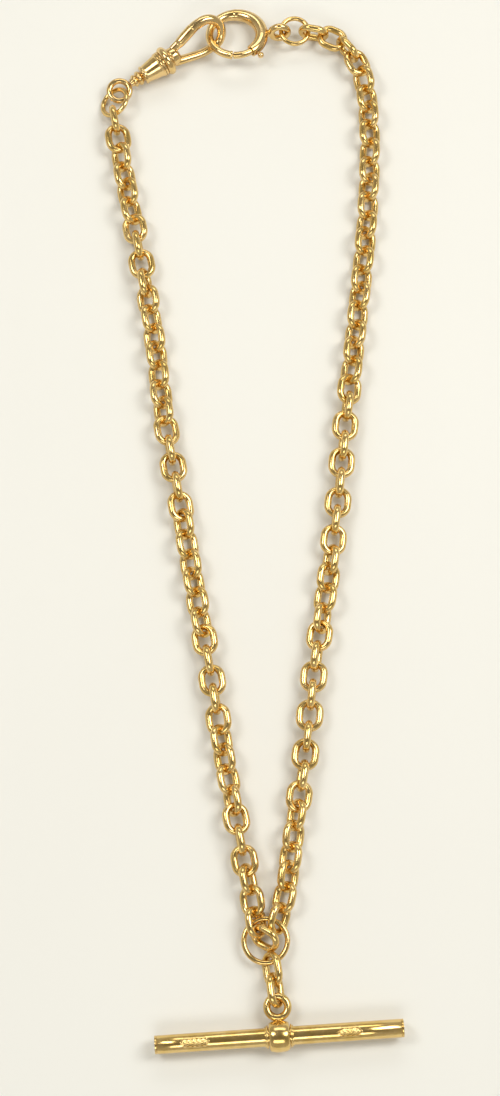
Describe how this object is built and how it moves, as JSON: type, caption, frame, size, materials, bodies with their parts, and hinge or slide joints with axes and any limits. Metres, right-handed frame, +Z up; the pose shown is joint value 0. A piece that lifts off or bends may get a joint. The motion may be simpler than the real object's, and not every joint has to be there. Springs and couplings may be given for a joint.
{
  "type": "pocket watch chain",
  "caption": "Gold double Albert chain: two lengths of oval links closed by a dog clip and a bolt ring, with a centre ring, a two-link drop and a T-bar on a turning bulb",
  "frame": {"origin": "centre of the whole closed chain's outline, on the surface that it lies on", "axes": "+Y up the two lengths from the T-bar to the clasp, +X to the right along the T-bar, +Z up from the surface"},
  "size_m": [0.057, 0.203, 0.0069],
  "materials": {
    "link_gold": "polished yellow gold",
    "ring_gold": "polished yellow gold",
    "bar_gold": "polished yellow gold with a drawn grain along the bar",
    "clasp_gold": "polished yellow gold",
    "spring_steel": "drawn spring wire"
  },
  "bodies": {
    "centre_ring": {"centre_ring": "ring_gold"},
    "drop_link_1": {"drop_link_1": "link_gold"},
    "drop_link_2": {"drop_link_2": "link_gold"},
    "bulb": {"t_bar_bulb": "bar_gold", "t_bar_eye": "bar_gold"},
    "bar": {"t_bar_tube": "bar_gold", "t_bar_cap_left": "bar_gold", "t_bar_cap_right": "bar_gold", "t_bar_collar_left": "bar_gold", "t_bar_collar_right": "bar_gold"},
    "spare_link": {"spare_link": "link_gold"},
    "left_run_01": {"left_chain_run_01": "link_gold"},
    "left_run_02": {"left_chain_run_02": "link_gold"},
    "left_run_03": {"left_chain_run_03": "link_gold"},
    "left_run_04": {"left_chain_run_04": "link_gold"},
    "left_run_05": {"left_chain_run_05": "link_gold"},
    "left_run_06": {"left_chain_run_06": "link_gold"},
    "left_run_07": {"left_chain_run_07": "link_gold"},
    "left_run_08": {"left_chain_run_08": "link_gold"},
    "left_run_09": {"left_chain_run_09": "link_gold"},
    "left_run_10": {"left_chain_run_10": "link_gold"},
    "left_run_11": {"left_chain_run_11": "link_gold"},
    "left_run_12": {"left_chain_run_12": "link_gold"},
    "left_run_13": {"left_chain_run_13": "link_gold"},
    "left_run_14": {"left_chain_run_14": "link_gold"},
    "right_run_01": {"right_chain_run_01": "link_gold"},
    "right_run_02": {"right_chain_run_02": "link_gold"},
    "right_run_03": {"right_chain_run_03": "link_gold"},
    "right_run_04": {"right_chain_run_04": "link_gold"},
    "right_run_05": {"right_chain_run_05": "link_gold"},
    "right_run_06": {"right_chain_run_06": "link_gold"},
    "right_run_07": {"right_chain_run_07": "link_gold"},
    "right_run_08": {"right_chain_run_08": "link_gold"},
    "right_run_09": {"right_chain_run_09": "link_gold"},
    "right_run_10": {"right_chain_run_10": "link_gold"},
    "right_run_11": {"right_chain_run_11": "link_gold"},
    "right_run_12": {"right_chain_run_12": "link_gold"},
    "right_run_13": {"right_chain_run_13": "link_gold"},
    "right_run_14": {"right_chain_run_14": "link_gold"},
    "right_run_15": {"right_chain_run_15": "link_gold"},
    "right_run_16": {"right_chain_run_16": "link_gold"},
    "left_jump_ring": {"left_jump_ring": "ring_gold"},
    "swivel": {"clip_swivel_post": "clasp_gold", "clip_swivel_eye": "clasp_gold"},
    "clip": {"clip_barrel": "clasp_gold", "clip_collar": "clasp_gold", "clip_hook": "clasp_gold", "clip_lever_pin": "clasp_gold", "clip_lever_spring": "spring_steel"},
    "lever": {"clip_lever": "clasp_gold"},
    "right_jump_ring": {"right_jump_ring": "ring_gold"},
    "bolt_ring": {"bolt_ring_tube": "clasp_gold", "bolt_ring_eye": "clasp_gold", "bolt_ring_spring": "spring_steel"},
    "bolt": {"bolt_ring_bolt": "clasp_gold", "bolt_ring_knob": "clasp_gold"}
  },
  "joints": [
    {"name": "fold_right_01", "type": "hinge", "parent": "centre_ring", "child": "right_run_01", "pos_m": [0.0056, -0.0791, 0.00217], "axis": [0.9734, 0.229, 0], "range_deg": [-6, 1]},
    {"name": "fold_left_01", "type": "hinge", "parent": "centre_ring", "child": "left_run_01", "pos_m": [0.0022, -0.0799, 0.00217], "axis": [0.9734, 0.229, 0], "range_deg": [-6, 1]},
    {"name": "fold_right_02", "type": "hinge", "parent": "right_run_01", "child": "right_run_02", "pos_m": [0.00802, -0.06817, 0.0023], "axis": [-0.9967, -0.0815, 0], "range_deg": [-30, 22]},
    {"name": "fold_left_02", "type": "hinge", "parent": "left_run_01", "child": "left_run_02", "pos_m": [0.00021, -0.06881, 0.0023], "axis": [-0.9967, -0.0815, 0], "range_deg": [-30, 22]},
    {"name": "fold_right_03", "type": "hinge", "parent": "right_run_02", "child": "right_run_03", "pos_m": [0.0096, -0.05706, 0.00245], "axis": [0.9982, 0.0601, 0], "range_deg": [-29, 30]},
    {"name": "fold_left_03", "type": "hinge", "parent": "left_run_02", "child": "left_run_03", "pos_m": [-0.00201, -0.05776, 0.00245], "axis": [0.9982, 0.0601, 0], "range_deg": [-29, 30]},
    {"name": "fold_right_04", "type": "hinge", "parent": "right_run_03", "child": "right_run_04", "pos_m": [0.01126, -0.04596, 0.00244], "axis": [-0.9989, -0.047, 0], "range_deg": [-30, 30]},
    {"name": "fold_left_04", "type": "hinge", "parent": "left_run_03", "child": "left_run_04", "pos_m": [-0.00411, -0.04669, 0.00244], "axis": [-0.9989, -0.047, 0], "range_deg": [-30, 30]},
    {"name": "fold_right_05", "type": "hinge", "parent": "right_run_04", "child": "right_run_05", "pos_m": [0.01246, -0.03481, 0.0025], "axis": [0.9992, 0.0406, 0], "range_deg": [-30, 30]},
    {"name": "fold_left_05", "type": "hinge", "parent": "left_run_04", "child": "left_run_05", "pos_m": [-0.00585, -0.03555, 0.0025], "axis": [0.9992, 0.0406, 0], "range_deg": [-30, 30]},
    {"name": "fold_right_06", "type": "hinge", "parent": "right_run_05", "child": "right_run_06", "pos_m": [0.01405, -0.0237, 0.00244], "axis": [-0.9994, -0.0348, 0], "range_deg": [-30, 30]},
    {"name": "fold_left_06", "type": "hinge", "parent": "left_run_05", "child": "left_run_06", "pos_m": [-0.00788, -0.02447, 0.00244], "axis": [-0.9994, -0.0348, 0], "range_deg": [-30, 30]},
    {"name": "fold_right_07", "type": "hinge", "parent": "right_run_06", "child": "right_run_07", "pos_m": [0.01575, -0.01261, 0.00225], "axis": [0.9995, 0.0303, 0], "range_deg": [-20, 21]},
    {"name": "fold_left_07", "type": "hinge", "parent": "left_run_06", "child": "left_run_07", "pos_m": [-0.00996, -0.01339, 0.00225], "axis": [0.9995, 0.0303, 0], "range_deg": [-20, 21]},
    {"name": "fold_right_08", "type": "hinge", "parent": "right_run_07", "child": "right_run_08", "pos_m": [0.01723, -0.00149, 0.00246], "axis": [-0.9996, -0.0273, 0], "range_deg": [-29, 30]},
    {"name": "fold_left_08", "type": "hinge", "parent": "left_run_07", "child": "left_run_08", "pos_m": [-0.01188, -0.00229, 0.00246], "axis": [-0.9996, -0.0273, 0], "range_deg": [-29, 30]},
    {"name": "fold_right_09", "type": "hinge", "parent": "right_run_08", "child": "right_run_09", "pos_m": [0.01837, 0.00967, 0.00249], "axis": [0.9996, 0.0271, 0], "range_deg": [-30, 30]},
    {"name": "fold_left_09", "type": "hinge", "parent": "left_run_08", "child": "left_run_09", "pos_m": [-0.01394, 0.00879, 0.00249], "axis": [0.9996, 0.0271, 0], "range_deg": [-30, 30]},
    {"name": "fold_right_10", "type": "hinge", "parent": "right_run_09", "child": "right_run_10", "pos_m": [0.01959, 0.02082, 0.00238], "axis": [-0.9997, -0.0261, 0], "range_deg": [-28, 22]},
    {"name": "fold_left_10", "type": "hinge", "parent": "left_run_09", "child": "left_run_10", "pos_m": [-0.01587, 0.0199, 0.00238], "axis": [-0.9997, -0.0261, 0], "range_deg": [-28, 22]},
    {"name": "fold_right_11", "type": "hinge", "parent": "right_run_10", "child": "right_run_11", "pos_m": [0.02091, 0.03197, 0.00209], "axis": [0.9997, 0.0231, 0], "range_deg": [-30, 30]},
    {"name": "fold_left_11", "type": "hinge", "parent": "left_run_10", "child": "left_run_11", "pos_m": [-0.01722, 0.03109, 0.00209], "axis": [0.9997, 0.0231, 0], "range_deg": [-30, 30]},
    {"name": "fold_right_12", "type": "hinge", "parent": "right_run_11", "child": "right_run_12", "pos_m": [0.02218, 0.04311, 0.00222], "axis": [-0.9998, -0.0219, 0], "range_deg": [-25, 11]},
    {"name": "fold_left_12", "type": "hinge", "parent": "left_run_11", "child": "left_run_12", "pos_m": [-0.01902, 0.04221, 0.00222], "axis": [-0.9998, -0.0219, 0], "range_deg": [-25, 11]},
    {"name": "fold_right_13", "type": "hinge", "parent": "right_run_12", "child": "right_run_13", "pos_m": [0.02334, 0.05427, 0.00226], "axis": [0.9998, 0.0222, 0], "range_deg": [-16, 28]},
    {"name": "fold_left_13", "type": "hinge", "parent": "left_run_12", "child": "left_run_13", "pos_m": [-0.0211, 0.05329, 0.00226], "axis": [0.9998, 0.0222, 0], "range_deg": [-16, 28]},
    {"name": "fold_right_14", "type": "hinge", "parent": "right_run_13", "child": "right_run_14", "pos_m": [0.0241, 0.06547, 0.00212], "axis": [-0.9997, -0.0236, 0], "range_deg": [-30, 30]},
    {"name": "fold_left_14", "type": "hinge", "parent": "left_run_13", "child": "left_run_14", "pos_m": [-0.02327, 0.06435, 0.00212], "axis": [-0.9997, -0.0236, 0], "range_deg": [-30, 30]},
    {"name": "fold_right_15", "type": "hinge", "parent": "right_run_14", "child": "right_run_15", "pos_m": [0.02406, 0.08059, 0.00232], "axis": [0.9997, 0.0261, 0], "range_deg": [-13, 25]},
    {"name": "fold_left_15", "type": "hinge", "parent": "left_run_14", "child": "left_jump_ring", "pos_m": [-0.026, 0.07928, 0.00232], "axis": [0.9997, 0.0261, 0], "range_deg": [-13, 25]},
    {"name": "fold_right_16", "type": "hinge", "parent": "right_run_15", "child": "right_run_16", "pos_m": [0.02123, 0.09132, 0.00235], "axis": [-0.9853, -0.1711, 0], "range_deg": [-18, 13]},
    {"name": "fold_left_16", "type": "hinge", "parent": "left_jump_ring", "child": "swivel", "pos_m": [-0.02599, 0.08312, 0.00235], "axis": [-0.9853, -0.1711, 0], "range_deg": [-18, 13]},
    {"name": "right_jump_ring_rock", "type": "hinge", "parent": "right_run_16", "child": "right_jump_ring", "pos_m": [0.01175, 0.0965, 0.0025], "axis": [-0.9969, -0.0069, 0.0779], "range_deg": [-2, 10]},
    {"name": "bolt_ring_rock", "type": "hinge", "parent": "right_jump_ring", "child": "bolt_ring", "pos_m": [0.00668, 0.09611, 0.00295], "axis": [-0.9971, 0.0215, 0.0737], "range_deg": [-2, 10]},
    {"name": "bolt_slide", "type": "hinge", "parent": "bolt_ring", "child": "bolt", "pos_m": [-0.002, 0.0955, 0.00295], "axis": [-0.0186, 0.2666, 0.9636], "range_deg": [0, 36], "stiffness_Nm_per_rad": 0.004, "springref_deg": -28.65, "deforming": ["bolt_ring_spring"]},
    {"name": "clip_swivel", "type": "hinge", "parent": "swivel", "child": "clip", "pos_m": [-0.0159, 0.0898, 0.00305], "axis": [0.8319, 0.5506, 0.0698], "range_deg": [-3, 15]},
    {"name": "lever_press", "type": "hinge", "parent": "clip", "child": "lever", "pos_m": [-0.01402, 0.09192, 0.00406], "axis": [-0.3712, 0.6455, -0.6675], "range_deg": [0, 16], "stiffness_Nm_per_rad": 0.004, "springref_deg": -28.65, "deforming": ["clip_lever_spring"]},
    {"name": "drop_swing", "type": "hinge", "parent": "centre_ring", "child": "drop_link_1", "pos_m": [0.0045, -0.08446, 0.0021], "axis": [0, 0, 1], "range_deg": [-20, 20]},
    {"name": "drop_fold", "type": "hinge", "parent": "drop_link_1", "child": "drop_link_2", "pos_m": [0.00518, -0.08819, 0.00234], "axis": [1, 0, 0], "range_deg": [-20, 28]},
    {"name": "bar_fold", "type": "hinge", "parent": "drop_link_2", "child": "bulb", "pos_m": [0.00567, -0.092, 0.0028], "axis": [0.9977, 0.0671, 0], "range_deg": [-35, 35]},
    {"name": "bar_turn", "type": "hinge", "parent": "bulb", "child": "bar", "pos_m": [0.0061, -0.0984, 0.0028], "axis": [0.9977, 0.0671, 0], "continuous": true},
    {"name": "spare_swing", "type": "hinge", "parent": "left_run_01", "child": "spare_link", "pos_m": [0.0022, -0.0799, 0.00228], "axis": [-0.7353, -0.108, -0.6691], "range_deg": [-12, 6]}
  ],
  "couplings": [
    {"joint": "fold_left_01", "follows": "fold_right_01", "ratio": 1},
    {"joint": "fold_left_02", "follows": "fold_right_02", "ratio": 1},
    {"joint": "fold_left_03", "follows": "fold_right_03", "ratio": 1},
    {"joint": "fold_left_04", "follows": "fold_right_04", "ratio": 1},
    {"joint": "fold_left_05", "follows": "fold_right_05", "ratio": 1},
    {"joint": "fold_left_06", "follows": "fold_right_06", "ratio": 1},
    {"joint": "fold_left_07", "follows": "fold_right_07", "ratio": 1},
    {"joint": "fold_left_08", "follows": "fold_right_08", "ratio": 1},
    {"joint": "fold_left_09", "follows": "fold_right_09", "ratio": 1},
    {"joint": "fold_left_10", "follows": "fold_right_10", "ratio": 1},
    {"joint": "fold_left_11", "follows": "fold_right_11", "ratio": 1},
    {"joint": "fold_left_12", "follows": "fold_right_12", "ratio": 1},
    {"joint": "fold_left_13", "follows": "fold_right_13", "ratio": 1},
    {"joint": "fold_left_14", "follows": "fold_right_14", "ratio": 1},
    {"joint": "fold_left_15", "follows": "fold_right_15", "ratio": 1},
    {"joint": "fold_left_16", "follows": "fold_right_16", "ratio": 1}
  ]
}
